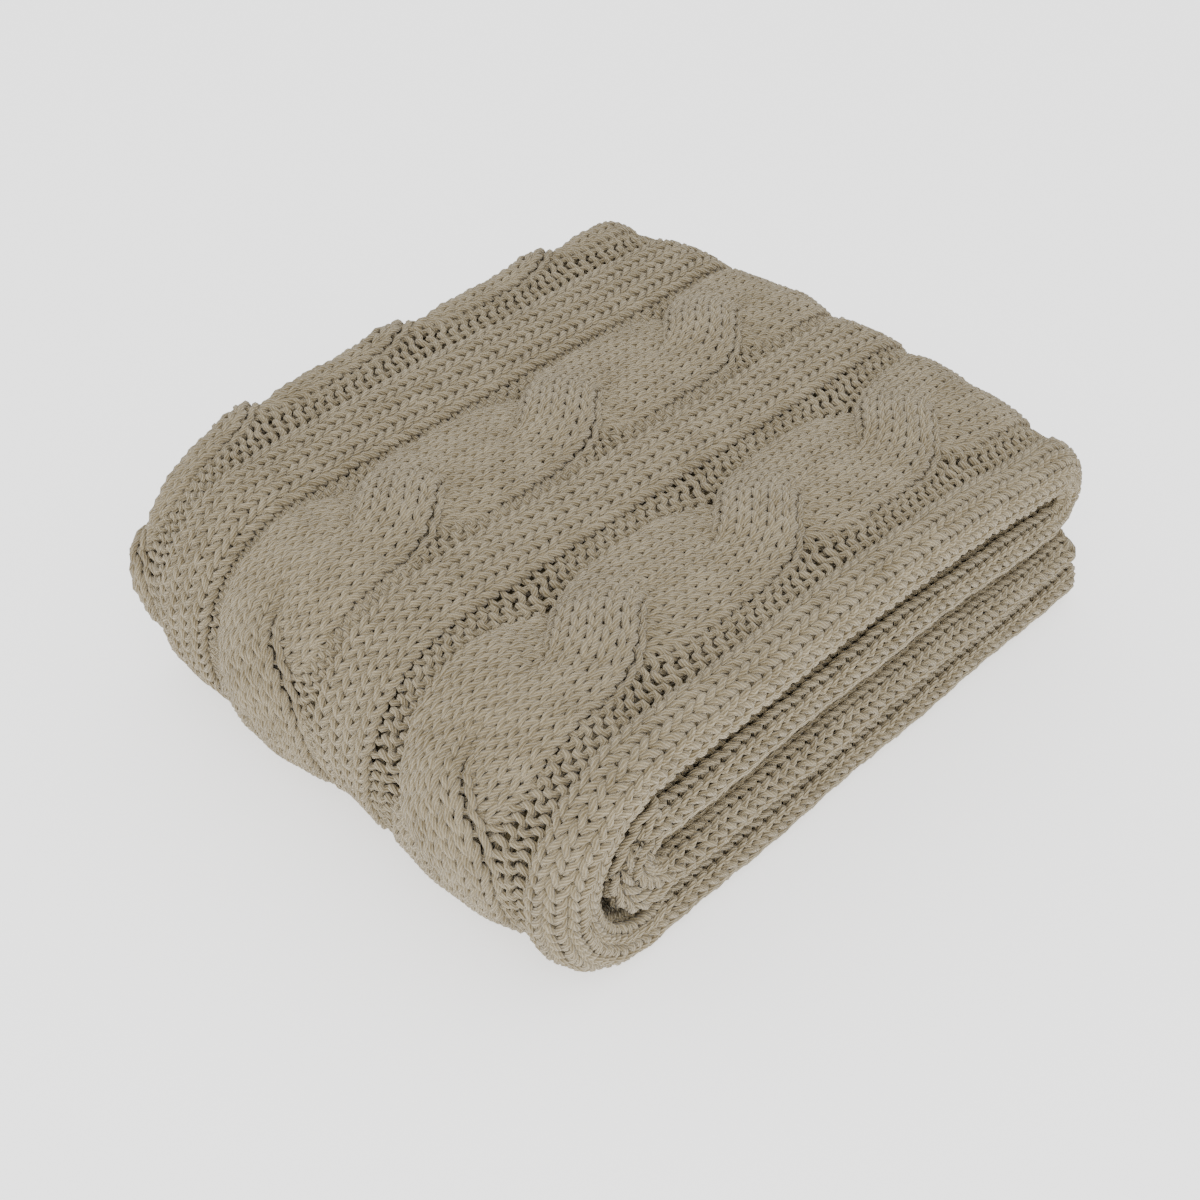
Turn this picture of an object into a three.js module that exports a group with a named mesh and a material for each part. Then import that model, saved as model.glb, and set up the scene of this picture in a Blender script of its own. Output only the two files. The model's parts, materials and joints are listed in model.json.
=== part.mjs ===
// Folded throw blanket: one knitted panel, folded to four plies and then to four leaves.
// Units are millimetres. +X runs along the wales, +Y to the selvedge side, +Z up.
// The origin is at the middle of the face that the pack rests on.
import * as THREE from 'three';

// Driving dimensions of the cloth and of the pack.
const PLY = 7.75; // thickness of one ply of knitting, cables pressed
const PLY_GAP = 0.3; // air between the plies of one leaf
const LEAF_GAP = 0.4; // air between two leaves
const PACK_LENGTH = 416; // from the round left end to the bind-off edge of leaf 4
const PACK_WIDTH = 334; // from the near folds to the selvedge side
const RIGHT_FOLD_SETBACK = 9; // how far the right fold stops short of the bind-off edge
const CAST_ON_SETBACK = 18; // how far leaf 3 stops short of the bind-off edge
const EDGE_BAND = 9; // width of the cast-on and bind-off edges
const SELVEDGE_SETBACK = 2; // how far the fourth ply stops short of the far fold
const SELVEDGE_STEP = 1; // how much further back the third ply stops
const END_GAP = 0.3; // air between a fold and the leaf that it joins
const NEAR_FOLD_STEPS = 8; // flats around half a turn of a near or far fold
const END_FOLD_STEPS = 12; // flats around half a turn of a lengthwise fold

const YARN_COLOUR = 0xb3a78f;
const YARN_ROUGHNESS = 0.95;

// Sizes that follow from them.
const LEAF = 4 * PLY + 3 * PLY_GAP;
const PITCH = LEAF + LEAF_GAP;
const STACK = 4 * LEAF + 3 * LEAF_GAP;
const X_LEFT = -PACK_LENGTH / 2;
const X_RIGHT = PACK_LENGTH / 2;
const Y_NEAR = -PACK_WIDTH / 2;
const Y_FAR = PACK_WIDTH / 2;
const SMALL_FOLD = LEAF + LEAF_GAP / 2; // outer radius of the right and the core fold
const X_LEFT_FOLD = X_LEFT + STACK / 2;
const X_RIGHT_FOLD = X_RIGHT - RIGHT_FOLD_SETBACK - SMALL_FOLD;
const CAST_ON_END = X_RIGHT - CAST_ON_SETBACK;
const Z_MIDDLE = STACK / 2;
const Z_UPPER_SLIT = STACK - SMALL_FOLD;
const FAR_FOLD_RADIUS = PLY + PLY_GAP / 2;
const Y_FAR_FOLD = Y_FAR - FAR_FOLD_RADIUS;

// Points of an arc in the (y, h) section plane, from one angle to another, both in degrees.
function arc(y, h, radius, from, to) {
  const points = [];
  for (let i = 0; i <= NEAR_FOLD_STEPS; i += 1) {
    const angle = THREE.MathUtils.degToRad(from + ((to - from) * i) / NEAR_FOLD_STEPS);
    points.push(new THREE.Vector2(y + radius * Math.cos(angle), h + radius * Math.sin(angle)));
  }
  return points;
}

// Two plies joined by a near fold: h runs up from the leaf's hidden face to its right side.
function wrapSection(outerRadius, innerRadius, upperEnd, lowerEnd) {
  const yFold = Y_NEAR + LEAF / 2;
  const middle = LEAF / 2;
  return [
    new THREE.Vector2(upperEnd, middle + outerRadius),
    ...arc(yFold, middle, outerRadius, 90, 270),
    new THREE.Vector2(lowerEnd, middle - outerRadius),
    new THREE.Vector2(lowerEnd, middle - innerRadius),
    ...arc(yFold, middle, innerRadius, 270, 90),
    new THREE.Vector2(upperEnd, middle + innerRadius),
  ];
}

// The fold on the far side, which joins the first ply to the second.
function farFoldSection() {
  const middle = LEAF - FAR_FOLD_RADIUS;
  return [
    ...arc(Y_FAR_FOLD, middle, FAR_FOLD_RADIUS, -90, 90),
    ...arc(Y_FAR_FOLD, middle, PLY_GAP / 2, 90, -90),
  ];
}

const PLY_END = Y_FAR_FOLD - END_GAP;
const SECTIONS = {
  outer_wrap: wrapSection(LEAF / 2, LEAF / 2 - PLY, PLY_END, Y_FAR - SELVEDGE_SETBACK),
  inner_wrap: wrapSection(
    LEAF / 2 - PLY - PLY_GAP,
    PLY_GAP / 2,
    PLY_END,
    Y_FAR - SELVEDGE_SETBACK - SELVEDGE_STEP,
  ),
  far_fold: farFoldSection(),
};

// Six times the signed volume of an indexed triangle mesh.
function signedVolume(points, indices) {
  let total = 0;
  for (let i = 0; i < indices.length; i += 3) {
    const [a, b, c] = indices.slice(i, i + 3).map((index) => points[index]);
    total += a.dot(b.clone().cross(c));
  }
  return total;
}

// Carries a section through stations, each a function from (y, h) to a point, and caps both ends.
function sweep(name, section, stations) {
  const count = section.length;
  const points = stations.flatMap((station) => section.map((point) => station(point.x, point.y)));
  const indices = [];
  for (let s = 0; s < stations.length - 1; s += 1) {
    for (let i = 0; i < count; i += 1) {
      const a = s * count + i;
      const b = s * count + ((i + 1) % count);
      indices.push(a, b, b + count, a, b + count, a + count);
    }
  }
  const last = (stations.length - 1) * count;
  for (const [a, b, c] of THREE.ShapeUtils.triangulateShape(section, [])) {
    indices.push(c, b, a, last + a, last + b, last + c);
  }
  if (signedVolume(points, indices) < 0) {
    indices.reverse();
  }
  const geometry = new THREE.BufferGeometry().setFromPoints(points);
  geometry.setIndex(indices);
  geometry.computeVertexNormals();
  const material = new THREE.MeshStandardMaterial({
    color: YARN_COLOUR,
    roughness: YARN_ROUGHNESS,
    metalness: 0,
  });
  const mesh = new THREE.Mesh(geometry, material);
  mesh.name = name;
  return mesh;
}

// Stations of a straight run: level is the bottom of the leaf, and up says if its right side is up.
function straight(from, to, level, up) {
  const height = (h) => level + (up ? h : LEAF - h);
  return [from, to].map((x) => (y, h) => new THREE.Vector3(x, y, height(h)));
}

// Stations of half a turn about a line along Y: side is -1 for a left fold and 1 for a right fold.
function halfTurn(x, z, side, radiusOf) {
  const stations = [];
  for (let i = 0; i <= END_FOLD_STEPS; i += 1) {
    const angle = (Math.PI * i) / END_FOLD_STEPS;
    stations.push((y, h) => {
      const out = side * radiusOf(h) * Math.sin(angle);
      return new THREE.Vector3(x + out, y, z + radiusOf(h) * Math.cos(angle));
    });
  }
  return stations;
}

const LEFT_RADIUS = Z_MIDDLE - LEAF;
const RUNS = {
  leaf_1: straight(X_LEFT_FOLD + END_GAP, X_RIGHT_FOLD - END_GAP, 3 * PITCH, true),
  leaf_2: straight(X_LEFT_FOLD + END_GAP, X_RIGHT_FOLD - END_GAP, 2 * PITCH, false),
  leaf_3: straight(X_LEFT_FOLD + END_GAP, CAST_ON_END - EDGE_BAND, PITCH, true),
  leaf_4: straight(X_LEFT_FOLD + END_GAP, X_RIGHT - EDGE_BAND, 0, false),
  right_fold: halfTurn(X_RIGHT_FOLD, Z_UPPER_SLIT, 1, (h) => LEAF_GAP / 2 + h),
  core_fold: halfTurn(X_LEFT_FOLD, Z_MIDDLE, -1, (h) => SMALL_FOLD - h),
  left_fold: halfTurn(X_LEFT_FOLD, Z_MIDDLE, -1, (h) => LEFT_RADIUS + h),
};
const EDGES = {
  cast_on: straight(CAST_ON_END - EDGE_BAND + END_GAP, CAST_ON_END, PITCH, true),
  bind_off: straight(X_RIGHT - EDGE_BAND + END_GAP, X_RIGHT, 0, false),
};

const throwPack = new THREE.Group();
for (const [run, stations] of Object.entries(RUNS)) {
  for (const [piece, section] of Object.entries(SECTIONS)) {
    throwPack.add(sweep(`${run}_${piece}`, section, stations));
  }
}
for (const [edge, stations] of Object.entries(EDGES)) {
  for (const piece of ['outer_wrap', 'inner_wrap']) {
    throwPack.add(sweep(`${edge}_${piece}`, SECTIONS[piece], stations));
  }
}

export default throwPack;
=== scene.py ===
"""A folded cable-knit throw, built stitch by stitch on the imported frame.

One knitted panel is folded to four plies and then to four leaves.  Cloth coordinates are used
throughout: s runs along the wales, c across them and n out of the right side of the knitting.
place() lays them on the folded pack.  Every course of knitting is a closed yarn tube, and a
plain ground cloth lies behind the stitches.
"""

import json
import math

import bpy
import numpy as np
from bpy.props import FloatProperty, FloatVectorProperty, IntProperty, PointerProperty
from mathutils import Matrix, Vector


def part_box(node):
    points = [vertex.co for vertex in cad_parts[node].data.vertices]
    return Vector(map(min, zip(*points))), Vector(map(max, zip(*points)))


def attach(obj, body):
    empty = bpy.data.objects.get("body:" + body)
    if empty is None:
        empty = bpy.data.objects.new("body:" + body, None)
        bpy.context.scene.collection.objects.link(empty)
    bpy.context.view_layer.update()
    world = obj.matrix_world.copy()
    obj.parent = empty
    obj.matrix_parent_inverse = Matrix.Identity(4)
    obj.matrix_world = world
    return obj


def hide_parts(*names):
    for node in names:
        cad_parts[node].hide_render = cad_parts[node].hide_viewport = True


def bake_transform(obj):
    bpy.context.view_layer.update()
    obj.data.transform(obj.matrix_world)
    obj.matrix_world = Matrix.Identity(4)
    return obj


bl_info = {
    "name": "Folded cable-knit throw",
    "version": (1, 0, 0),
    "blender": (4, 5, 0),
    "location": "3D View > Sidebar > Throw",
    "description": "Builds a folded throw from yarn courses, its ground cloth and a small stage",
    "category": "Object",
}

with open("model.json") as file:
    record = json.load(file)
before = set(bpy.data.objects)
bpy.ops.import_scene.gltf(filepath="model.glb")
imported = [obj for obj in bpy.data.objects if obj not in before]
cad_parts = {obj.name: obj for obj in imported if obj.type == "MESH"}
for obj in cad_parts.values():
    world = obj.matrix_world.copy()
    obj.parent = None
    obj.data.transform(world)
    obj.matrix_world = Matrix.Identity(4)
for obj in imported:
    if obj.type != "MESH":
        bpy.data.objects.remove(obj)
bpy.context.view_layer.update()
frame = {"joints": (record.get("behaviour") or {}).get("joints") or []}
MM = 0.001

# The pack's own sizes, read from the frame.
LEAF_1_LOW, LEAF_1_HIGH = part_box("leaf_1_outer_wrap")
CORE_LOW, CORE_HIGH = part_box("core_fold_outer_wrap")
FAR_LOW, FAR_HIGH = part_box("leaf_1_far_fold")
LEAF = LEAF_1_HIGH.z - LEAF_1_LOW.z  # thickness of one leaf of four plies
STACK = LEAF_1_HIGH.z
MIDDLE = STACK / 2
FOLD_X = LEAF_1_LOW.x  # where the leaves end and the left and core folds begin
RIGHT_X = LEAF_1_HIGH.x
CAST_ON_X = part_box("cast_on_outer_wrap")[1].x
BIND_OFF_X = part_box("bind_off_outer_wrap")[1].x
SLIT = (CORE_HIGH.z - CORE_LOW.z) / 2 - LEAF  # half the gap between one leaf and the next
SMALL = LEAF + SLIT  # radius of the right fold, outside
BIG = MIDDLE  # radius of the left fold, outside
NEAR_Y = LEAF_1_LOW.y + LEAF / 2  # where the near folds of the plies begin
FAR_RADIUS = (FAR_HIGH.z - FAR_LOW.z) / 2
FAR_Y = FAR_HIGH.y - FAR_RADIUS  # where the far fold of the outer plies begins
AXIS_X = frame["joints"][0]["pos_m"][0]

TIGHTER = 0.22  # how much sooner the near fold comes round on leaves 2 and 4

# The thickness of the knitting.
SKIN = 2.1 * MM  # least depth of a yarn's middle below a surface that another leaf bears on
GROUND_DEPTH = 9.3 * MM  # the ground cloth of the outer plies, below the pack's surface
INNER_GROUND = 3.0 * MM  # the ground cloth of the inner plies, from the middle of the leaf
GROUND_END = 3.0 * MM  # how far both ends of the ground go on past the far fold's centre
EDGE_DROP = 3.2 * MM  # how far a course dips at its ends, behind its neighbour
PLAIN_WALE = 8.0 * MM
BORDER_PURL = 8.5 * MM  # width of a purl wale beside the border rib
CORE_BULGE = 5.0 * MM  # how far the outside of the core's near fold swells out
BRAID_WALE = 7.4 * MM  # length of one turn of a chain, for each wale of its width

# The knitting: a repeat is a cable of ten wales, two purl wales, a rib of four and two purl.
REPEAT = 134.0 * MM
ROW = 7.04 * MM
CELL_ROWS = 16
CELL = ROW * CELL_ROWS
FIRST_CROSSING = 34.1 * MM  # from the left fold to the first crossing on top
CABLES = (-93.6 * MM, 40.4 * MM, 186.6 * MM)  # centres of the cables
CABLE_WALE = 0.0525 * REPEAT
CABLE_SHIFT = 0.130 * REPEAT
STRAND_WALES = 5
RIBS = (
    (-184.0 * MM, -146.0 * MM),
    (-42.5 * MM, -4.0 * MM),
    (81.0 * MM, 129.0 * MM),
)
RIB_WALES = 4
PURL_WALES = 2


def srgb(code):
    """Linear colour of an sRGB hex code."""
    parts = [int(code[i : i + 2], 16) / 255 for i in (1, 3, 5)]
    return [p / 12.92 if p <= 0.04045 else ((p + 0.055) / 1.055) ** 2.4 for p in parts] + [1.0]


# ---------------------------------------------------------------- the folded pack


class Run:
    """One straight or turning stretch of the pack along s, seen at the right side's surface."""

    def __init__(self, name, length, origin, turn, bend=0, radius=0.0):
        self.name = name
        self.length = length
        self.origin = origin
        self.turn = [math.radians(a) for a in turn]
        self.bend = bend
        self.radius = radius


RUNS = [
    Run("leaf_4", BIND_OFF_X - FOLD_X, (BIND_OFF_X, 0.0), (180, 180)),
    Run("left_fold", math.pi * BIG, (FOLD_X, MIDDLE), (180, 0), 1, BIG),
    Run("leaf_1", RIGHT_X - FOLD_X, (FOLD_X, STACK), (0, 0)),
    Run("right_fold", math.pi * SMALL, (RIGHT_X, STACK - SMALL), (0, -180), 1, SMALL),
    Run("leaf_2", RIGHT_X - FOLD_X, (RIGHT_X, STACK - 2 * SMALL), (-180, -180)),
    Run("core_fold", 2 * (FOLD_X - AXIS_X), (FOLD_X, MIDDLE), (-180, 0), -1, SLIT),
    Run("leaf_3", CAST_ON_X - FOLD_X, (FOLD_X, MIDDLE - SLIT), (0, 0)),
]
LENGTHS = np.array([r.length for r in RUNS])
STARTS = np.concatenate([[0.0], np.cumsum(LENGTHS)[:-1]])
TOP_START = STARTS[2]
TOTAL = float(LENGTHS.sum())
ORIGINS = np.array([r.origin for r in RUNS])
TURN_FROM = np.array([r.turn[0] for r in RUNS])
TURN_TO = np.array([r.turn[1] for r in RUNS])
BENDS = np.array([r.bend for r in RUNS])
RADII = np.array([r.radius for r in RUNS])
PRESSED = np.array([r.name in ("leaf_2", "leaf_3", "leaf_4", "core_fold") for r in RUNS])
RUN_INDEX = {r.name: i for i, r in enumerate(RUNS)}


def drift(s):
    """How far the fold line has drifted towards the second ply: most on leaves 2 and 4."""
    at = [0.0, *STARTS[1:], TOTAL]
    turned_over = [1, 1, 0, 0, 1, 1, 0, 0]
    return np.interp(s, at, turned_over)


def section(c, n, s):
    """y and rise above the right side, for a place c across the cloth and n out of it.
    The near fold is half a turn of the leaf's half thickness, the far fold a tighter one."""
    outer = LEAF / 2
    wound = (NEAR_Y - c) * (1 + TIGHTER * drift(s))
    near = np.clip(wound / outer, 0, math.pi)
    far = np.clip((c - FAR_Y) / FAR_RADIUS, 0, math.pi)
    under = np.maximum(wound - math.pi * outer, 0)
    back = np.maximum(c - FAR_Y - math.pi * FAR_RADIUS, 0)
    # On the left fold the inner half of the near fold is fuller than a circle: it bears on the core.
    lead = 20 * MM
    fuller = 0.8
    bend = [STARTS[1] - lead, STARTS[1] + lead, STARTS[2] - lead, STARTS[2] + lead]
    power = 2 + fuller * np.interp(s, bend, [0, 1, 1, 0])
    full = (1 - np.abs(np.cos(near)) ** power) ** (1 / power)
    out = np.where(near > math.pi / 2, full, np.sin(near))
    y_near = NEAR_Y - (outer + n) * out + under
    y_far = FAR_Y + (FAR_RADIUS + n) * np.sin(far) - back
    rise_near = (outer + n) * np.cos(near) - outer
    rise_far = (FAR_RADIUS + n) * np.cos(far) - FAR_RADIUS
    y = np.where(c < NEAR_Y, y_near, np.where(c > FAR_Y, y_far, c))
    rise = np.where(c < NEAR_Y, rise_near, np.where(c > FAR_Y, rise_far, n))
    return y, rise


def eased(x, knots):
    """Values that ease from knot to knot."""
    at = np.array([k[0] for k in knots]) * MM
    value = np.array([k[1] for k in knots]) * MM
    i = np.clip(np.searchsorted(at, x) - 1, 0, len(at) - 2)
    t = np.clip((x - at[i]) / (at[i + 1] - at[i]), 0, 1)
    return value[i] + (value[i + 1] - value[i]) * t * t * (3 - 2 * t)


def smooth(x, low, high):
    """0 below low, 1 above high, and a smooth step between."""
    t = np.clip((x - low) / (high - low), 0, 1)
    return t * t * (3 - 2 * t)


# How far the left and the right end wave in or out (+X), as (y, offset) in mm.
LEFT_WAVES = (
    (-167, -2),
    (-100, -4),
    (-53, -3),
    (-18, 3),
    (2, 0),
    (40, 0),
    (85, 3),
    (115, 6),
    (165, 17),
)
RIGHT_WAVES = ((-167, -3), (-134, 1), (-90, -3), (-30, 2), (38, 0), (83, 3), (134, 1), (167, -6))
SAG = 0.13  # how much lower the near right corner lies, as a share of its height
LEFT_SAG = 0.07  # the same of the far left corner
LEFT_DRAW = 7 * MM  # how far the far left corner draws in
THIRD_OUT = 5.0 * MM  # how far leaf 3 stands out at its near fold
# Where the slack fades in or out, in m along X or Y.
LEFT_END = (-0.215, -0.060)
RIGHT_END = (0.090, 0.200)
SAG_X = (0.020, 0.200)
SAG_Y = (-0.170, -0.040)
LEFT_CORNER_Y = (0.090, 0.170)
THIRD_X = (-0.190, -0.110)
THIRD_Y = (-0.165, -0.110)


def settle(p):
    """The slack of a real pack, added to its plain shape: the left end waves in and out,
    the far left corner draws in, the near right corner sags, and leaf 3 stands out a little."""
    x, y, z = p[..., 0], p[..., 1], p[..., 2]
    left = 1 - smooth(x, *LEFT_END)
    right = smooth(x, *RIGHT_END)
    dx = left * eased(y, LEFT_WAVES) + right * eased(y, RIGHT_WAVES)
    corner = smooth(x, *SAG_X) * (1 - smooth(y, *SAG_Y))
    corner_left = left * smooth(y, *LEFT_CORNER_Y)
    third = np.exp(-(((z - 1.5 * LEAF) / (0.35 * LEAF)) ** 2)) * (1 - smooth(y, *THIRD_Y))
    third = third * smooth(x, *THIRD_X)
    q = p.copy()
    q[..., 0] = x + dx
    q[..., 1] = y - THIRD_OUT * third - LEFT_DRAW * corner_left
    z = z * (1 - SAG * corner - LEFT_SAG * corner_left)
    # What lies low is squeezed upwards, as the floor bears on it, and nothing lies under it.
    press = 6 * MM
    lowest = 2 * MM
    squeeze = 0.25
    q[..., 2] = np.where(z < press, np.maximum(press - (press - z) * squeeze, lowest), z)
    return q


def pressed(rise, i):
    """Relief pressed flat where leaf lies on leaf, so that each leaf keeps to its own layer."""
    reach = 10 * MM
    shallow = 6 * MM
    top = -shallow + (rise + shallow) * (shallow - SKIN) / (shallow + reach)
    rise = np.where(PRESSED[i] & (rise > -shallow), np.minimum(top, -SKIN), rise)
    low = rise + LEAF
    bottom = shallow - (shallow - low) * (shallow - SKIN) / (shallow + shallow)
    return np.where(low < shallow, np.maximum(bottom, SKIN), low) - LEAF


def run_at(s):
    """The number of the run that s is in."""
    return np.clip(np.searchsorted(STARTS, s, side="right") - 1, 0, len(RUNS) - 1)


def place(s, c, n):
    """The point of the pack for cloth coordinates."""
    y, rise = section(c, n, s)
    return lay(s, y, pressed(rise, run_at(s)))


def lay(s, y, rise, run=None):
    """A point of the folded section, at s.  Along a straight run it moves on, and along a
    fold it turns about the fold's centre.  The run is the one that s is in, unless given."""
    i = run_at(s) if run is None else RUN_INDEX[run]
    along = s - STARTS[i]
    share = np.clip(along / LENGTHS[i], 0, 1)
    angle = TURN_FROM[i] + (TURN_TO[i] - TURN_FROM[i]) * share
    reach = np.where(BENDS[i] == 0, along, 0.0)
    out = rise + BENDS[i] * RADII[i]
    x = ORIGINS[i, 0] + np.cos(angle) * reach - np.sin(angle) * out
    z = ORIGINS[i, 1] + np.sin(angle) * reach + np.cos(angle) * out
    return settle(np.stack(np.broadcast_arrays(x, y, z), axis=-1))


def core_half(s, y, rise, upper):
    """A point of the core fold's cloth laid straight: leaf 2, or leaf 3, carried on to the joint's
    axis, where the fold parts, and thinning towards it like the round end of the pack."""
    i = RUN_INDEX["core_fold"]
    along = s - STARTS[i]
    furthest = LENGTHS[i] / 2 - SKIN
    back = np.minimum(along if upper else LENGTHS[i] - along, furthest)
    least = 0.1
    thin = np.sqrt(np.clip(1 - (back / SMALL) ** 2, least, 1))
    out = SLIT + np.maximum(-rise * thin, SKIN)
    x = FOLD_X - back
    z = MIDDLE + (out if upper else -out)
    plain = np.stack(np.broadcast_arrays(x, y, z), axis=-1)
    at = settle(plain)
    # The waves of the left end fade out, so that both halves end straight along the axis.
    fade = np.broadcast_to(np.clip(back / furthest, 0, 1), plain.shape[:-1])
    at[..., 0] += (plain[..., 0] - at[..., 0]) * fade
    return at


# ---------------------------------------------------------------- the stitches


def strand_path(xi):
    """Sideways place and slope of the front strand of a crossing, xi from -0.5 to 0.5 along it."""
    steep = 5.4
    scale = math.tanh(steep / 2)
    y = CABLE_SHIFT * np.tanh(steep * xi) / scale
    slope = CABLE_SHIFT * steep / CELL / scale / np.cosh(steep * xi) ** 2
    return y, slope


def half_width(xi):
    """Half the width of a cable's outline: widest between crossings."""
    return (0.2195 - 0.043 * np.cos(2 * np.pi * xi)) * REPEAT


def outline_table():
    """The near and far edge of a cable over one cell, from the edges of its two strands."""
    xi = np.linspace(-0.75, 0.75, 601)
    edge = STRAND_WALES / 2 * CABLE_WALE
    grid = np.linspace(-0.5, 0.5, 201)
    low = np.full(grid.shape, 1.0)
    high = np.full(grid.shape, -1.0)
    for turn in (1, -1):
        for side in (1, -1):
            y, slope = strand_path(np.clip(xi, -0.5, 0.5))
            slope = np.where(np.abs(xi) > 0.5, 0.0, slope)
            tilt = np.arctan(turn * slope)
            at = xi - side * edge * np.sin(tilt) / CELL
            across = turn * y + side * edge * np.cos(tilt)
            value = np.interp(grid, at, across)
            low = np.minimum(low, value)
            high = np.maximum(high, value)
    return grid, low, high


OUTLINE = outline_table()


def cell_phase(s):
    """Place along a cell, from -0.5 to 0.5 about its crossing."""
    t = (s - TOP_START - FIRST_CROSSING) / CELL
    return t - np.round(t)


def cable_edge(s, side):
    """The near (-1) or far (1) outline of a cable at s, from the cable's middle."""
    return np.interp(cell_phase(s), OUTLINE[0], OUTLINE[1] if side < 0 else OUTLINE[2])


def loops(first, last, steps):
    """One course of stitches in wale units: place across, lean along the wale and lift.
    Each wale is one loop: across = u + a sin(4 pi u), along = -b cos(2 pi u), out = -cos(4 pi u)."""
    count = int(round((last - first) * steps)) + 1
    u = np.linspace(first, last, count)
    return u, np.sin(4 * np.pi * u), -np.cos(2 * np.pi * u), -np.cos(4 * np.pi * u)


def noise(shape, seed, size):
    """Small fixed irregularities."""
    return np.random.default_rng(seed).normal(0, size, shape)


def hand_made(s, c, n):
    """Slow and quick waves of half a millimetre or so, as no two real stitches are alike."""
    a, b = s / MM, c / MM
    ds = 0.45 * np.sin(a / 5.3 + b / 3.1) + 0.35 * np.sin(a / 13.7 - b / 7.9 + 1.3)
    dc = 0.35 * np.sin(a / 4.1 - b / 6.7 + 0.4) + 0.45 * np.sin(a / 17.3 + b / 11.9)
    dn = 0.35 * np.sin(a / 3.7 + b / 5.9 + 2.1) + 0.45 * np.sin(a / 19.1 - b / 14.3 + 0.8)
    return s + ds * MM, c + dc * MM, n + dn * MM


def face_sign(u, knit_from, knit_to):
    """1 on knit wales and -1 on purl wales, turning over at the border between them."""
    soft = 0.16
    begun = smooth(u, knit_from - soft, knit_from + soft)
    ended = smooth(u, knit_to - soft, knit_to + soft)
    return 2 * begun * (1 - ended) - 1


def middle_of(run):
    """The s of the middle of a run."""
    i = RUN_INDEX[run]
    return STARTS[i] + LENGTHS[i] / 2


def row_places(run):
    """The s of every course whose middle lies on a run."""
    first = TOP_START + FIRST_CROSSING - CELL / 2 + ROW / 2
    low = STARTS[RUN_INDEX[run]]
    high = low + LENGTHS[RUN_INDEX[run]]
    start = math.ceil((low - first) / ROW - 1e-6)
    stop = math.ceil((high - first) / ROW - 1e-6)
    return first + ROW * np.arange(start, stop)


def rib_courses(rows, rib, steps, settings, near_border=False):
    """Courses of one rib and the purl gutters on both sides of it.  The rib has its own wale
    width, and each gutter reaches to the edge of the cable beside it."""
    knit_lean = settings.lean * 1.12
    purl_lean = 0.13
    lap = 0.45  # how many wales a course goes on past its last, behind its neighbour
    low, high = RIBS[rib]
    u, swing, lean, lift = loops(-PURL_WALES - lap, RIB_WALES + PURL_WALES + lap, steps)
    face = face_sign(u, 0, RIB_WALES)
    knit = (face + 1) / 2
    across = u + (knit * knit_lean + (1 - knit) * purl_lean) * swing
    s = rows[:, None] + settings.loop * ROW * lean[None, :]
    wale = (high - low) / RIB_WALES
    far_cable = CABLES[rib]
    near_cable = CABLES[rib - 1]
    far_edge = far_cable + cable_edge(s, -1)
    near_edge = near_cable + cable_edge(s, 1)
    if near_border:
        near_edge = np.full(s.shape, low - PURL_WALES * BORDER_PURL)
    gutter_far = (far_edge - high) / PURL_WALES
    gutter_near = (low - near_edge) / PURL_WALES
    c = np.where(
        across < 0,
        low + across * gutter_near,
        np.where(across > RIB_WALES, high + (across - RIB_WALES) * gutter_far, low + across * wale),
    )
    end = np.maximum(smooth(u, RIB_WALES + PURL_WALES, u[-1]), 1 - smooth(u, u[0], -PURL_WALES))
    dome = 1.6 * MM * (1 - (np.clip(u / RIB_WALES, 0, 1) * 2 - 1) ** 2)
    raised = 0.6 * MM
    gutter_depth = 2.2 * MM
    n = face * lift * (1.35 - 0.35 * knit) * settings.depth * MM - settings.sink * MM
    n = n + knit * (raised + dome) - (1 - knit) * gutter_depth - end * EDGE_DROP
    return s, c, np.broadcast_to(n, s.shape)


def plain_courses(rows, c_from, c_to, steps, settings):
    """Courses of plain knitting from c_from down to c_to, for a face that hardly shows."""
    wales = int(round(abs(c_to - c_from) / PLAIN_WALE))
    u, swing, lean, lift = loops(0, wales, steps)
    across = u + settings.lean * swing
    s = rows[:, None] + settings.loop * ROW * lean[None, :]
    c = np.broadcast_to(c_from + (c_to - c_from) / wales * across, s.shape)
    n = lift * settings.depth * MM - settings.sink * MM
    return s, c, np.broadcast_to(n, s.shape)


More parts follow.
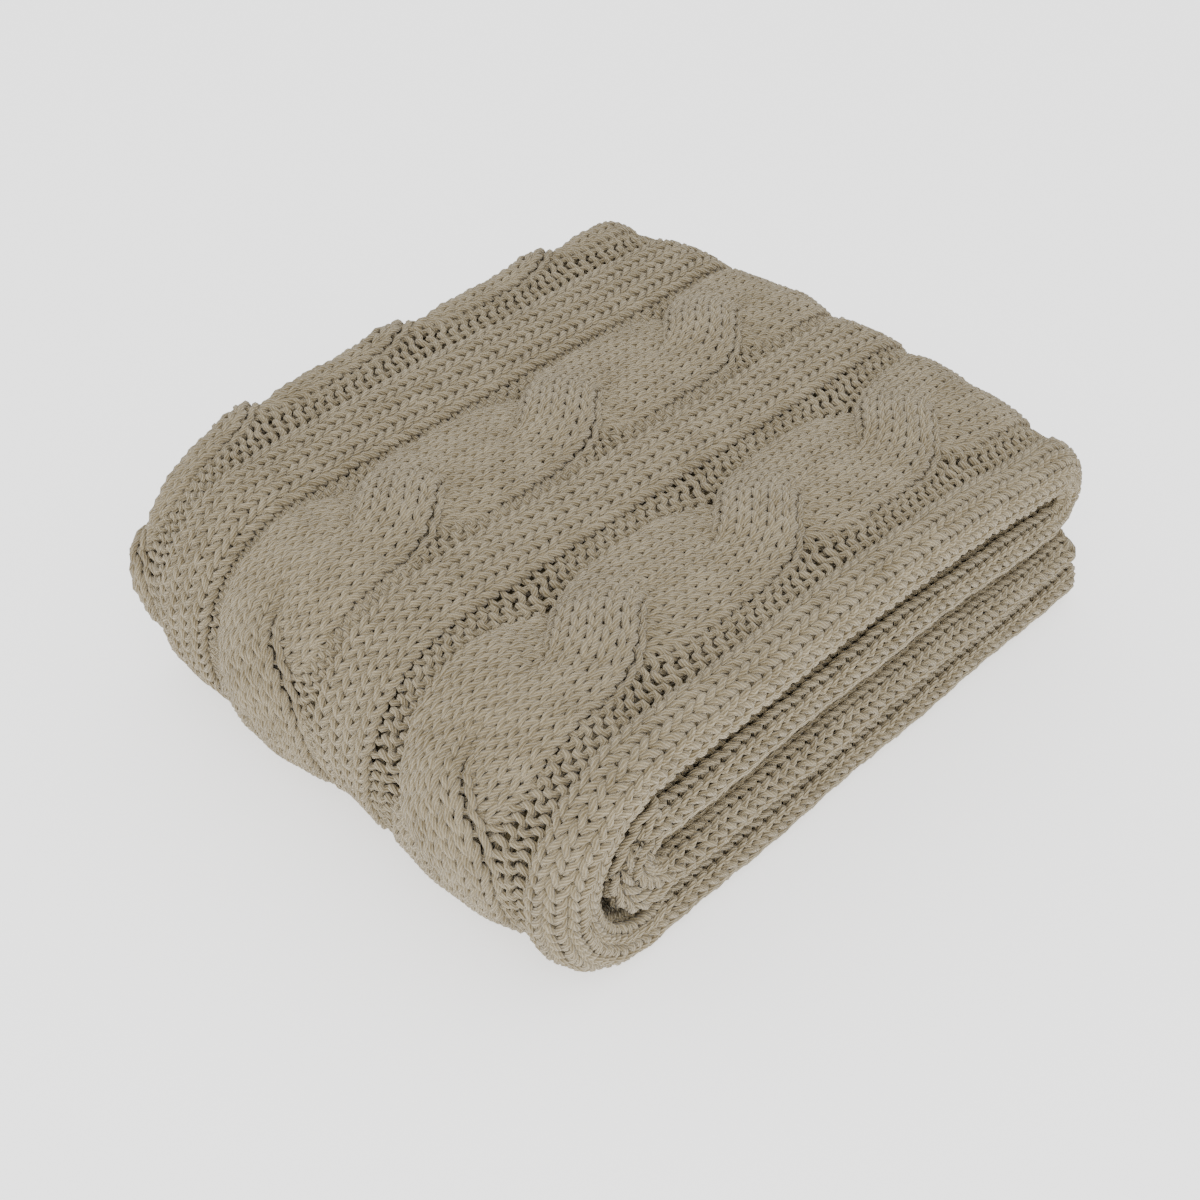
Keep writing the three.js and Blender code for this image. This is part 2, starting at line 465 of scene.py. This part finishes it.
def strand_courses(rows, cable, front, steps, settings):
    """Courses of one strand of a cable, five wales wide, over the cells that its rows are in.
    At a crossing the front strand climbs from the near to the far side over the back one."""
    lap = 0.35
    u, swing, lean, lift = loops(-lap, STRAND_WALES + lap, steps)
    q = (u + settings.lean * swing - STRAND_WALES / 2)[None, :] * CABLE_WALE
    row_at = (rows - TOP_START - FIRST_CROSSING) / CELL
    crossing = np.round(row_at)[:, None]
    along = row_at[:, None] - crossing + settings.loop * lean[None, :] / CELL_ROWS
    turn = 1 if front else -1
    held = np.clip(along, -0.5, 0.5)
    y, slope = strand_path(held)
    slope = np.where(np.abs(along) > 0.5, 0.0, slope)
    tilt = np.arctan(turn * slope)
    s = TOP_START + FIRST_CROSSING + (crossing + along) * CELL - q * np.sin(tilt)
    middle = turn * y + q * np.cos(tilt)
    climb = 0.23  # how far along a cell the front strand is raised, from the crossing
    crown = 3.5 * MM
    sunk = 3.0 * MM
    crease_depth = 2.6 * MM
    near = np.exp(-((along / climb) ** 2))
    width = half_width(held)
    pillow = settings.pillow * MM * np.clip(1 - (middle / (width * 1.04)) ** 2, 0, 1) ** 0.8
    own = 1 - (q / (STRAND_WALES / 2 * CABLE_WALE)) ** 2
    if front:
        extra = near * (settings.crossing * MM + crown * own)
    else:
        extra = -near * sunk
    end = np.maximum(smooth(u, STRAND_WALES - 0.1, u[-1]), 1 - smooth(u, u[0], 0.1))[None, :]
    crease = smooth(np.abs(along), 0.10, 0.22) * (1 - smooth(np.abs(along), 0.26, 0.46))
    inner = np.exp(-(((turn * np.sign(along) * -1 * q) / CABLE_WALE - STRAND_WALES / 2) ** 2) / 0.8)
    n = lift[None, :] * settings.depth * MM - settings.sink * MM + pillow + extra
    n = n - end * EDGE_DROP - crease * inner * crease_depth
    return s, CABLES[cable] + middle, n


def both_strands(rows, cable, steps, settings):
    """The front and the back strand of a cable."""
    return [strand_courses(rows, cable, front, steps, settings) for front in (True, False)]


def tube_frames(p, up):
    """Unit vectors at right angles to the yarn, to its side and out of the cloth, at each point."""
    ahead = np.gradient(p, axis=1)
    ahead /= np.linalg.norm(ahead, axis=-1, keepdims=True) + 1e-12
    side = np.cross(ahead, up)
    side /= np.linalg.norm(side, axis=-1, keepdims=True) + 1e-12
    return side, np.cross(side, ahead)


def tube_uvs(p, sides, seed):
    """One UV for each corner of each quad: u counts 10 mm of yarn, v goes once round it."""
    rows, count = p.shape[:2]
    shape = (rows, count - 1, sides)
    step = np.linalg.norm(np.diff(p, axis=1), axis=-1)
    arc = np.concatenate([np.zeros((rows, 1)), np.cumsum(step, axis=1)], axis=1) / (10 * MM)
    arc = arc + noise((rows, 1), seed, 1.0)
    a0 = np.broadcast_to(arc[:, :-1, None], shape).reshape(-1)
    a1 = np.broadcast_to(arc[:, 1:, None], shape).reshape(-1)
    k0 = np.broadcast_to(np.arange(sides) / sides, shape).reshape(-1)
    k1 = k0 + 1 / sides
    return np.stack([a0, k0, a1, k0, a1, k1, a0, k1], axis=-1).reshape(-1, 2)


def tube_mesh(name, groups, sides, radius, wobble_seed):
    """One mesh of closed yarn tubes.  Each group holds courses of the same number of points, as
    (s, c, n) or as points that are laid already.  A ring of sides vertices stands round every
    point, and both ends have a cap."""
    verts, corners, totals, uvs = [], [], [], []
    offset = 0
    turn = 2 * np.pi * np.arange(sides) / sides
    k = np.arange(sides)[None, None, :]
    k2 = (k + 1) % sides
    for g, group in enumerate(groups):
        if isinstance(group, tuple):
            s, c, n = hand_made(*group)
            p = place(s, c, n)
            up = place(s, c, n + 0.5 * MM) - p
        else:
            p = group
            up = np.broadcast_to(np.array([0.3, 0.2, 1.0]), p.shape)
        rows, count = p.shape[:2]
        side, top = tube_frames(p, up)
        ring = (
            side[:, :, None, :] * np.cos(turn)[None, None, :, None]
            + top[:, :, None, :] * np.sin(turn)[None, None, :, None]
        )
        verts.append((p[:, :, None, :] + radius * ring).reshape(-1, 3))
        at = np.arange(rows)[:, None, None] * count + np.arange(count - 1)[None, :, None]
        base = offset + at * sides
        quads = np.stack([base + k, base + sides + k, base + sides + k2, base + k2], axis=-1)
        first = offset + np.arange(rows)[:, None] * count * sides + np.arange(sides)[None, :]
        last = first[:, ::-1] + (count - 1) * sides
        caps = np.concatenate([first, last])
        corners += [quads.reshape(-1), caps.reshape(-1)]
        totals += [np.full(quads.size // 4, 4), np.full(len(caps), sides)]
        uvs += [tube_uvs(p, sides, wobble_seed + 90 + g), np.zeros((caps.size, 2))]
        offset += rows * count * sides
    return yarn_object(name, *(np.concatenate(part) for part in (verts, corners, totals, uvs)))


def yarn_object(name, verts, corners, totals, uvs):
    """An object from arrays: points, the vertex of every corner, corners per face and UVs."""
    mesh = bpy.data.meshes.new(name)
    mesh.vertices.add(len(verts))
    mesh.vertices.foreach_set("co", verts.astype(np.float32).ravel())
    mesh.loops.add(len(corners))
    mesh.loops.foreach_set("vertex_index", corners.astype(np.int32))
    starts = np.cumsum(totals) - totals
    mesh.polygons.add(len(totals))
    mesh.polygons.foreach_set("loop_start", starts.astype(np.int32))
    mesh.polygons.foreach_set("loop_total", totals.astype(np.int32))
    mesh.polygons.foreach_set("use_smooth", np.ones(len(totals), bool))
    layer = mesh.uv_layers.new(name="yarn")
    layer.data.foreach_set("uv", uvs.astype(np.float32).ravel())
    mesh.update()
    mesh.validate()
    obj = bpy.data.objects.new(name, mesh)
    bpy.context.scene.collection.objects.link(obj)
    return obj


def panel_line(heights):
    """The folded panel's section as (y, rise) points through all four plies, spaced evenly.
    Heights are those of plies 1 to 4 below the right side."""
    first, second, third, fourth = (LEAF / 2 - h for h in heights)
    turn = np.linspace(0, math.pi, 24)[1:-1]
    span = FAR_Y - NEAR_Y

    def arc(y, high, low, out):
        middle, reach = (high + low) / 2, (high - low) / 2
        return np.stack([y + out * reach * np.sin(turn), middle + reach * np.cos(turn)], axis=-1)

    points = [
        [[NEAR_Y + span, third], [NEAR_Y, third]],
        arc(NEAR_Y, second, third, -1)[::-1],
        [[NEAR_Y, second], [NEAR_Y + span, second]],
        arc(FAR_Y, first, second, 1)[::-1],
        [[NEAR_Y + span, first], [NEAR_Y, first]],
        arc(NEAR_Y, first, fourth, -1),
        [[NEAR_Y, fourth], [NEAR_Y + span, fourth]],
    ]
    line = np.concatenate([np.asarray(part) for part in points])
    line[:, 1] -= LEAF / 2
    return line


def evenly(line, spacing):
    """The same line with points a set way apart, and its length so far at each."""
    far = np.concatenate([[0], np.cumsum(np.linalg.norm(np.diff(line, axis=0), axis=1))])
    along = np.linspace(0, far[-1], int(far[-1] / spacing))
    return np.stack([np.interp(along, far, line[:, k]) for k in range(2)], axis=-1), along


def braid(along, wales):
    """Sideways and outward places of the three strands of a braid as wide as an edge."""
    third = 2 * math.pi / 3
    phase = 2 * math.pi * along[None, :] / (wales * BRAID_WALE) + third * np.arange(3)[:, None]
    swing = 2.3 * MM
    lift = 1.7 * MM
    return swing * np.sin(phase), lift * np.sin(2 * phase)


def end_edge(s_end):
    """The cast-on or bind-off edge: a chain that closes all four plies at a free end."""
    ply = LEAF / 4
    line, along = evenly(panel_line([ply * (k + 0.5) for k in range(4)]), 1.3 * MM)
    aside, out = braid(along, 2)
    ahead = np.gradient(line, axis=0)
    ahead /= np.linalg.norm(ahead, axis=1, keepdims=True)
    y = line[None, :, 0] - ahead[None, :, 1] * out
    rise = line[None, :, 1] + ahead[None, :, 0] * out
    return lay(s_end + aside, y, rise)


def side_edges(s_from, s_to, upper=None):
    """The selvedges of plies 3 and 4 along a run, one chain each."""
    along = np.arange(s_from, s_to, 1.5 * MM)
    aside, out = braid(along, 2)
    made = []
    for ply in (2, 3):
        inset = 5.5 * MM + ply * 0.5 * MM
        y = FAR_HIGH.y - inset + aside
        rise = -LEAF / 4 * (ply + 0.5) + out
        s = np.broadcast_to(along, y.shape)
        made.append(lay(s, y, rise) if upper is None else core_half(s, y, rise, upper))
    return np.concatenate(made)


# ---------------------------------------------------------------- materials


def add_node(tree, kind, at, values=None, **settings):
    """A shader node at a place, with its settings and its sockets' values."""
    made = tree.nodes.new(kind)
    made.location = at
    for key, value in settings.items():
        setattr(made, key, value)
    for key, value in (values or {}).items():
        made.inputs[key].default_value = value
    return made


def yarn_material(settings):
    """Soft-spun chunky yarn: matt, a little sheen from its fibres, and plies that wind round it."""
    name = "taupe_acrylic_yarn"
    if name in bpy.data.materials:
        return bpy.data.materials[name]
    material = bpy.data.materials.new(name)
    material.use_nodes = True
    tree = material.node_tree
    tree.nodes.clear()
    link = tree.links.new
    out = add_node(tree, "ShaderNodeOutputMaterial", (900, 0))
    surface = add_node(
        tree,
        "ShaderNodeBsdfPrincipled",
        (600, 0),
        {
            "Roughness": 0.95,
            "Specular IOR Level": 0.15,
            "Sheen Weight": 0.25,
            "Sheen Roughness": 0.6,
        },
    )
    link(surface.outputs[0], out.inputs[0])
    uv = add_node(tree, "ShaderNodeUVMap", (-900, 0), uv_map="yarn")
    split = add_node(tree, "ShaderNodeSeparateXYZ", (-700, 0))
    link(uv.outputs[0], split.inputs[0])
    # The plies wind once in about 20 mm: u counts 10 mm of yarn and v goes once round it.
    wind = add_node(tree, "ShaderNodeMath", (-520, 60), {1: 0.5}, operation="MULTIPLY")
    link(split.outputs[0], wind.inputs[0])
    both = add_node(tree, "ShaderNodeMath", (-360, 40), operation="ADD")
    link(wind.outputs[0], both.inputs[0])
    link(split.outputs[1], both.inputs[1])
    turns = add_node(tree, "ShaderNodeMath", (-200, 40), {1: 14 * math.pi}, operation="MULTIPLY")
    link(both.outputs[0], turns.inputs[0])
    ply = add_node(tree, "ShaderNodeMath", (-40, 40), operation="SINE")
    link(turns.outputs[0], ply.inputs[0])
    place_at = add_node(tree, "ShaderNodeTexCoord", (-900, -300))
    # Fibres lie along the yarn: 2 waves in 10 mm of it and 11 round it.
    stretch = add_node(tree, "ShaderNodeVectorMath", (-760, -160), operation="MULTIPLY")
    stretch.inputs[1].default_value = (2.0, 11.0, 1.0)
    link(uv.outputs[0], stretch.inputs[0])
    detail = {"Scale": 1.0, "Detail": 4.0, "Roughness": 0.75}
    fibre = add_node(tree, "ShaderNodeTexNoise", (-600, -300), detail)
    link(stretch.outputs[0], fibre.inputs["Vector"])
    tone = add_node(tree, "ShaderNodeTexNoise", (-600, -520), {"Scale": 60.0, "Detail": 2.0})
    link(place_at.outputs["Object"], tone.inputs["Vector"])
    mixed = add_node(tree, "ShaderNodeMath", (-200, -300), {1: 0.75}, operation="MULTIPLY_ADD")
    link(fibre.outputs[0], mixed.inputs[0])
    scaled = add_node(tree, "ShaderNodeMath", (-360, -480), {1: 0.25}, operation="MULTIPLY")
    link(tone.outputs[0], scaled.inputs[0])
    link(scaled.outputs[0], mixed.inputs[2])
    # The ramp's input is random fibre and tone noise with the ply wave added. The ply wave paints
    # shade into the grooves between the plies, and the light fibre waves stand partly for painted
    # highlights on the fibres, over their random tone.
    tone_highlight_and_ply_shade = add_node(tree, "ShaderNodeMath", (0, -200), {1: 0.10}, operation="MULTIPLY_ADD")
    link(ply.outputs[0], tone_highlight_and_ply_shade.inputs[0])
    link(mixed.outputs[0], tone_highlight_and_ply_shade.inputs[2])
    ramp = add_node(tree, "ShaderNodeValToRGB", (180, -200))
    ramp.color_ramp.elements[0].position = 0.30
    ramp.color_ramp.elements[0].color = settings.dark
    ramp.color_ramp.elements[1].position = 0.66
    ramp.color_ramp.elements[1].color = settings.light
    link(tone_highlight_and_ply_shade.outputs[0], ramp.inputs[0])
    link(ramp.outputs[0], surface.inputs["Base Color"])
    height = add_node(tree, "ShaderNodeMath", (180, -460), {1: 0.5}, operation="MULTIPLY_ADD")
    link(fibre.outputs[0], height.inputs[0])
    link(ply.outputs[0], height.inputs[2])
    bump = add_node(tree, "ShaderNodeBump", (400, -400), {"Strength": 0.7, "Distance": 0.6 * MM})
    link(height.outputs[0], bump.inputs["Height"])
    link(bump.outputs[0], surface.inputs["Normal"])
    return material


def ground_material():
    """The yarn behind the stitches, in their shade: the same wool colour, darker and quite matt."""
    name = "shaded_knit_ground"
    if name in bpy.data.materials:
        return bpy.data.materials[name]
    material = bpy.data.materials.new(name)
    material.use_nodes = True
    tree = material.node_tree
    tree.nodes.clear()
    out = add_node(tree, "ShaderNodeOutputMaterial", (300, 0))
    surface = add_node(
        tree,
        "ShaderNodeBsdfPrincipled",
        (0, 0),
        {"Base Color": srgb("#7a6e52"), "Roughness": 1.0, "Specular IOR Level": 0.0},
    )
    tree.links.new(surface.outputs[0], out.inputs[0])
    return material


# ---------------------------------------------------------------- pieces


BODY = {
    "leaf_1": "upper_pair",
    "leaf_2": "upper_pair",
    "right_fold": "upper_pair",
    "leaf_3": "root",
    "leaf_4": "root",
}


def dress(obj, material, run, share=None):
    """Material, slot and the body that a piece moves with.  A piece of the core fold goes with the
    upper pair or the root by its share of the way round; a piece of the left fold stays where it
    lies."""
    obj.data.materials.append(material)
    if run == "core_fold":
        # The core parts at its leftmost line, over the joint's axis: its upper half goes with leaf 2.
        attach(obj, "upper_pair" if share < 0.5 else "root")
        return obj
    if run in BODY:
        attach(obj, BODY[run])
        return obj
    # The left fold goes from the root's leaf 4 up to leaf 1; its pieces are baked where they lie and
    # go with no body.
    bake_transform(obj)
    return obj


def batches(rows, size):
    """Rows in batches of at most size."""
    count = max(1, math.ceil(len(rows) / size))
    return [b for b in np.array_split(rows, count) if len(b)]


def fold_share(run, rows):
    """How far round its fold the middle of these rows is."""
    i = RUN_INDEX[run]
    return float((rows.mean() - STARTS[i]) / LENGTHS[i])


def ground_section():
    """The folded panel's section as points (c side, rise): one line through all four plies."""
    depth = GROUND_DEPTH
    steps = 10
    half = LEAF / 2
    inner = INNER_GROUND
    far = max(FAR_RADIUS - depth, 0.5 * MM)
    turn = np.linspace(0, math.pi, steps)

    def near_arc(radius):
        return np.stack([NEAR_Y - radius * np.sin(turn), radius * np.cos(turn)], axis=-1)

    low, high = inner, half - depth
    middle = (low + high) / 2
    reach = (high - low) / 2
    far_out = FAR_Y + far + 2 * MM * np.sin(turn)
    far_arc = np.stack([far_out, middle - reach * np.cos(turn)], axis=-1)
    ys = np.linspace(NEAR_Y, FAR_Y, 12)[1:-1]

    def ply(height, reverse):
        line = np.stack([ys, np.full(ys.shape, height)], axis=-1)
        return line[::-1] if reverse else line

    points = [
        np.array([[FAR_Y + GROUND_END, -inner]]),
        ply(-inner, True),
        near_arc(low)[::-1],
        ply(inner, False),
        far_arc,
        ply(high, True),
        near_arc(high),
        ply(-high, False),
        np.array([[FAR_Y + GROUND_END, -high]]),
    ]
    line = np.concatenate(points)
    line[:, 1] -= half
    return line


def ground_piece(name, run, s_from, s_to, steps):
    """A sheet of ground cloth swept along part of a run."""
    y, rise = ground_section().T
    s = np.linspace(s_from, s_to, steps)[:, None]
    if run == "core_fold":
        verts = core_half(s, y, rise, s.mean() < middle_of(run))
    else:
        verts = lay(s, y, rise, run)
    rows, count = verts.shape[:2]
    base = np.arange(rows - 1)[:, None] * count + np.arange(count - 1)[None, :]
    faces = np.stack([base, base + 1, base + count + 1, base + count], axis=-1).reshape(-1, 4)
    mesh = bpy.data.meshes.new(name)
    mesh.from_pydata(verts.reshape(-1, 3).tolist(), [], faces.tolist())
    mesh.update()
    obj = bpy.data.objects.new(name, mesh)
    bpy.context.scene.collection.objects.link(obj)
    return obj


def panel_width():
    """The flat width of the panel: the length of its folded section."""
    line = ground_section()
    return float(np.linalg.norm(np.diff(line, axis=0), axis=1).sum())


NODES = {
    run: [f"{run}_{part}" for part in ("outer_wrap", "inner_wrap", "far_fold")]
    for run in ("leaf_1", "leaf_2", "leaf_3", "leaf_4", "right_fold", "core_fold", "left_fold")
}
NODES["leaf_3"] += ["cast_on_outer_wrap", "cast_on_inner_wrap"]
NODES["leaf_4"] += ["bind_off_outer_wrap", "bind_off_inner_wrap"]


def build_run(run, settings, steps, sides, batch):
    """The stitch pieces of one run, by batches of rows; build_ground makes the ground cloth behind
    them.
    """
    yarn = yarn_material(settings)
    radius = settings.yarn * MM / 2
    made = []
    rows = row_places(run)
    for b, part in enumerate(batches(rows, batch)):
        bands = [("border", [rib_courses(part, 0, steps, settings, near_border=True)])]
        bands.append(("rib_a", [rib_courses(part, 1, steps, settings)]))
        bands.append(("rib_b", [rib_courses(part, 2, steps, settings)]))
        for cable in range(3):
            bands.append((f"cable_{'abc'[cable]}", both_strands(part, cable, steps, settings)))
        if run in BODY:
            for band, groups in bands:
                obj = tube_mesh(f"{run}_{band}_{b + 1}", groups, sides, radius, 7 * b + len(made))
                made.append(dress(obj, yarn, run))
        else:
            groups = [g for band in bands for g in band[1]]
            obj = tube_mesh(f"{run}_courses_{b + 1}", groups, sides, radius, 7 * b)
            made.append(dress(obj, yarn, run, fold_share(run, part)))
    return made


def build_core(settings):
    """The core fold's stitches.  It parts over the joint's axis: the rows of its near fold turn
    with the fold, and those of its face, inside it, carry on the faces of leaves 2 and 3."""
    i = RUN_INDEX["core_fold"]
    yarn = yarn_material(settings)
    radius = settings.yarn * MM / 2
    rows = row_places("core_fold")
    made = []
    for upper, name in ((True, "upper"), (False, "lower")):
        part = rows[(rows < middle_of("core_fold")) == upper]
        share = 0.25 if upper else 0.75
        s, c, n = hand_made(*rib_courses(part, 0, settings.steps, settings, near_border=True))
        y, rise = section(c, n, s)
        # The near fold is fuller here than a circle, and its outside swells towards the left fold.
        nose = np.clip((NEAR_Y - y) / (LEAF / 2), 0, 1.5)
        full = np.where(nose > 0, NEAR_Y - LEAF / 2 * nose**0.7, y)
        bulge = smooth(-rise, 10 * MM, 26 * MM) * smooth(NEAR_Y - full, 5 * MM, 9 * MM)
        rise = pressed(rise, i) - CORE_BULGE * bulge
        turned = lay(s, full, rise)
        straight = core_half(s, y, rise, upper)
        inside = (smooth(y, NEAR_Y - 8 * MM, NEAR_Y + 4 * MM) * (rise > -LEAF / 2))[..., None]
        border = turned * (1 - inside) + straight * inside
        obj = tube_mesh(f"core_fold_border_{name}", [border], settings.sides, radius, 5)
        made.append(dress(obj, yarn, "core_fold", share))
        groups = [rib_courses(part, rib, 8, settings) for rib in (1, 2)]
        for cable in range(3):
            groups += both_strands(part, cable, 8, settings)
        points = []
        for group in groups:
            s, c, n = hand_made(*group)
            y, rise = section(c, n, s)
            points.append(core_half(s, y, pressed(rise, i), upper))
        obj = tube_mesh(f"core_fold_face_{name}", points, 5, radius, 6)
        made.append(dress(obj, yarn, "core_fold", share))
    return made


def ledge_piece(settings):
    """Plain courses on the back of leaf 4 where leaf 3 stops short of its end."""
    rows = row_places("leaf_4")[:5]
    first = RIBS[0][0] - 12 * MM
    last = NEAR_Y - (math.pi * LEAF / 2 + FAR_Y - NEAR_Y) / (1 + TIGHTER)
    plain = plain_courses(rows, first, last, 10, settings)
    obj = tube_mesh("leaf_4_ledge", [plain], 5, settings.yarn * MM / 2, 9)
    return dress(obj, yarn_material(settings), "leaf_4")


def edge_piece(name, points, settings, run, share=None):
    """Chains of yarn along an edge."""
    obj = tube_mesh(name, [points], 5, settings.yarn * MM / 2, 3)
    return dress(obj, yarn_material(settings), run, share)


def build_ground(run, settings, parts, steps, stitches):
    """The ground cloth of a run, in parts where it bends, and the selvedge chains along each part."""
    i = RUN_INDEX[run]
    edges = np.linspace(STARTS[i], STARTS[i] + LENGTHS[i], parts + 1)
    made = []
    for k in range(parts):
        name = f"{run}_ground" if parts == 1 else f"{run}_ground_{k + 1}"
        obj = ground_piece(name, run, edges[k], edges[k + 1], steps)
        share = (k + 0.5) / parts
        half = k == 0 if run == "core_fold" else None
        edge = side_edges(edges[k], edges[k + 1], half)
        stitches.append(edge_piece(name.replace("ground", "selvedge"), edge, settings, run, share))
        dress(obj, ground_material(), run, share)
        made.append(obj)
    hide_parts(*NODES[run])
    # The flat length of an outward fold is the length of the middle of its leaf; here the panel's
    # flat width is only worked out for each part and not used.
    for k, obj in enumerate(made):
        panel_width()
    return made


class ThrowSettings(bpy.types.PropertyGroup):
    """Sizes and colours of the yarn and the knitting."""

    yarn: FloatProperty(name="Yarn", description="Diameter of the yarn, mm", default=3.9, min=1.0)
    lean: FloatProperty(name="Lean", description="Lean of a stitch's legs, in wales", default=0.26)
    loop: FloatProperty(name="Loop", description="Half the length of a loop, in rows", default=0.86)
    depth: FloatProperty(name="Depth", description="Depth of a loop in the cloth, mm", default=1.7)
    sink: FloatProperty(
        name="Sink", description="Middle of the stitches below the pack's surface, mm", default=3.4
    )
    pillow: FloatProperty(name="Pillow", description="Height of a cable's crown, mm", default=4.2)
    crossing: FloatProperty(
        name="Crossing", description="Extra height of the front strand, mm", default=4.2
    )
    steps: IntProperty(name="Steps", description="Points along one stitch", default=12, min=6)
    sides: IntProperty(name="Sides", description="Sides of the yarn tube", default=6, min=4)
    # Lit tone of the yarn, the top of its colour ramp: its fibre waves paint highlights, over the
    # yarn's random tone.
    light: FloatVectorProperty(
        name="Light yarn",
        description="Lit fibres",
        subtype="COLOR",
        size=4,
        default=srgb("#b0a284"),
    )
    # Shaded tone of the yarn, the bottom of its colour ramp: it paints shade into the grooves between
    # the plies, over the yarn's random tone.
    dark: FloatVectorProperty(
        name="Dark yarn",
        description="Fibres in the grooves",
        subtype="COLOR",
        size=4,
        default=srgb("#6c5d3d"),
    )


class StageSettings(bpy.types.PropertyGroup):
    """The floor, the lights and the camera."""

    floor: FloatVectorProperty(
        name="Floor",
        description="Colour of the floor",
        subtype="COLOR",
        size=4,
        default=srgb("#ffffff"),
    )
    glow: FloatProperty(name="Glow", description="Light that the floor gives off", default=1.0)
    world: FloatProperty(name="Sky", description="Strength of the even light", default=1.4)
    key: FloatProperty(name="Key", description="Power of the large lamp, W", default=9.0)
    lens: FloatProperty(name="Lens", description="Focal length, mm", default=54.07, min=10)
    azimuth: FloatProperty(
        name="Azimuth",
        description="Camera round the pack",
        default=math.radians(-46.6),
        subtype="ANGLE",
    )
    elevation: FloatProperty(
        name="Elevation",
        description="Camera above the horizon",
        default=math.radians(39.72),
        subtype="ANGLE",
    )
    distance: FloatProperty(
        name="Distance",
        description="Camera to its target",
        default=0.8182,
        unit="LENGTH",
    )


class THROW_OT_leaves(bpy.types.Operator):
    """Builds the four leaves of the pack"""

    bl_idname = "throw.leaves"
    bl_label = "Leaves"

    def execute(self, context):
        s = context.scene.throw_settings
        for run, steps, sides in (
            ("leaf_1", s.steps, s.sides),
            ("leaf_2", 8, 5),
            ("leaf_3", 8, 5),
            ("leaf_4", 8, 5),
        ):
            stitches = build_run(run, s, steps, sides, 25)
            if run == "leaf_3":
                stitches.append(edge_piece("cast_on_chain", end_edge(TOTAL - 2 * MM), s, run))
            if run == "leaf_4":
                stitches.append(ledge_piece(s))
                stitches.append(edge_piece("bind_off_chain", end_edge(2 * MM), s, run))
            build_ground(run, s, 1, 12, stitches)
        return {"FINISHED"}


class THROW_OT_folds(bpy.types.Operator):
    """Builds the folds that join the leaves"""

    bl_idname = "throw.folds"
    bl_label = "Folds"

    def execute(self, context):
        s = context.scene.throw_settings
        stitches = build_run("right_fold", s, s.steps, s.sides, 25)
        build_ground("right_fold", s, 1, 13, stitches)
        stitches = build_run("left_fold", s, s.steps, s.sides, 2)
        build_ground("left_fold", s, 6, 4, stitches)
        build_ground("core_fold", s, 2, 9, build_core(s))
        return {"FINISHED"}


class THROW_OT_stage(bpy.types.Operator):
    """Builds the floor, the lights and the camera"""

    bl_idname = "throw.stage"
    bl_label = "Stage"

    def execute(self, context):
        scene = context.scene
        s = scene.throw_stage
        bpy.ops.mesh.primitive_plane_add(size=12.0, location=(0, 0, 0))
        floor = context.object
        floor.name = "studio_floor"
        material = bpy.data.materials.new("matt_studio_paper")
        material.use_nodes = True
        shader = material.node_tree.nodes["Principled BSDF"]
        shader.inputs["Base Color"].default_value = s.floor
        shader.inputs["Roughness"].default_value = 1.0
        shader.inputs["Emission Color"].default_value = s.floor
        shader.inputs["Emission Strength"].default_value = s.glow
        floor.data.materials.append(material)
        world = bpy.data.worlds.new("soft_white_room")
        world.use_nodes = True
        world.node_tree.nodes["Background"].inputs[0].default_value = (1, 1, 1, 1)
        world.node_tree.nodes["Background"].inputs[1].default_value = s.world
        scene.world = world
        lamp = bpy.data.lights.new("large_softbox", "AREA")
        lamp.shape = "RECTANGLE"
        lamp.size = 1.2
        lamp.size_y = 1.2
        lamp.energy = s.key
        box = bpy.data.objects.new("large_softbox", lamp)
        scene.collection.objects.link(box)
        box.location = (-0.9, -0.9, 1.1)
        lit = np.array([0.0, 0.0, 0.06])  # about the middle of the pack
        aim = lit - np.array(box.location)
        box.rotation_euler = look_angles(aim)
        target = np.array([-0.0957, -0.0819, 0.130])
        back = np.array(
            [
                math.sin(s.azimuth) * math.cos(s.elevation),
                -math.cos(s.azimuth) * math.cos(s.elevation),
                math.sin(s.elevation),
            ]
        )
        data = bpy.data.cameras.new("catalogue_camera")
        data.lens = s.lens
        data.sensor_width = 36.0
        camera = bpy.data.objects.new("catalogue_camera", data)
        scene.collection.objects.link(camera)
        camera.location = target + back * s.distance
        camera.rotation_euler = look_angles(-back)
        scene.camera = camera
        return {"FINISHED"}


def look_angles(direction):
    """Euler angles that point -Z of a lamp or camera along a direction, with +Z up."""
    x, y, z = direction / np.linalg.norm(direction)
    return (math.acos(-z), 0.0, math.atan2(-x, y))


class THROW_PT_panel(bpy.types.Panel):
    """The sidebar panel"""

    bl_idname = "THROW_PT_panel"
    bl_label = "Throw"
    bl_space_type = "VIEW_3D"
    bl_region_type = "UI"
    bl_category = "Throw"

    def draw(self, context):
        layout = self.layout
        for group in (context.scene.throw_settings, context.scene.throw_stage):
            for key in group.__annotations__:
                layout.prop(group, key)
        for operator in ("throw.leaves", "throw.folds", "throw.stage"):
            layout.operator(operator)


CLASSES = (
    ThrowSettings,
    StageSettings,
    THROW_OT_leaves,
    THROW_OT_folds,
    THROW_OT_stage,
    THROW_PT_panel,
)


def register():
    """Registers the classes and gives the scene both groups of settings."""
    for cls in CLASSES:
        bpy.utils.register_class(cls)
    bpy.types.Scene.throw_settings = PointerProperty(type=ThrowSettings)
    bpy.types.Scene.throw_stage = PointerProperty(type=StageSettings)


def unregister():
    """Undoes register()."""
    del bpy.types.Scene.throw_stage
    del bpy.types.Scene.throw_settings
    for cls in reversed(CLASSES):
        bpy.utils.unregister_class(cls)


def main():
    """Builds everything in order."""
    register()
    bpy.ops.throw.leaves()
    bpy.ops.throw.folds()
    bpy.ops.throw.stage()


if __name__ == "__main__":
    main()
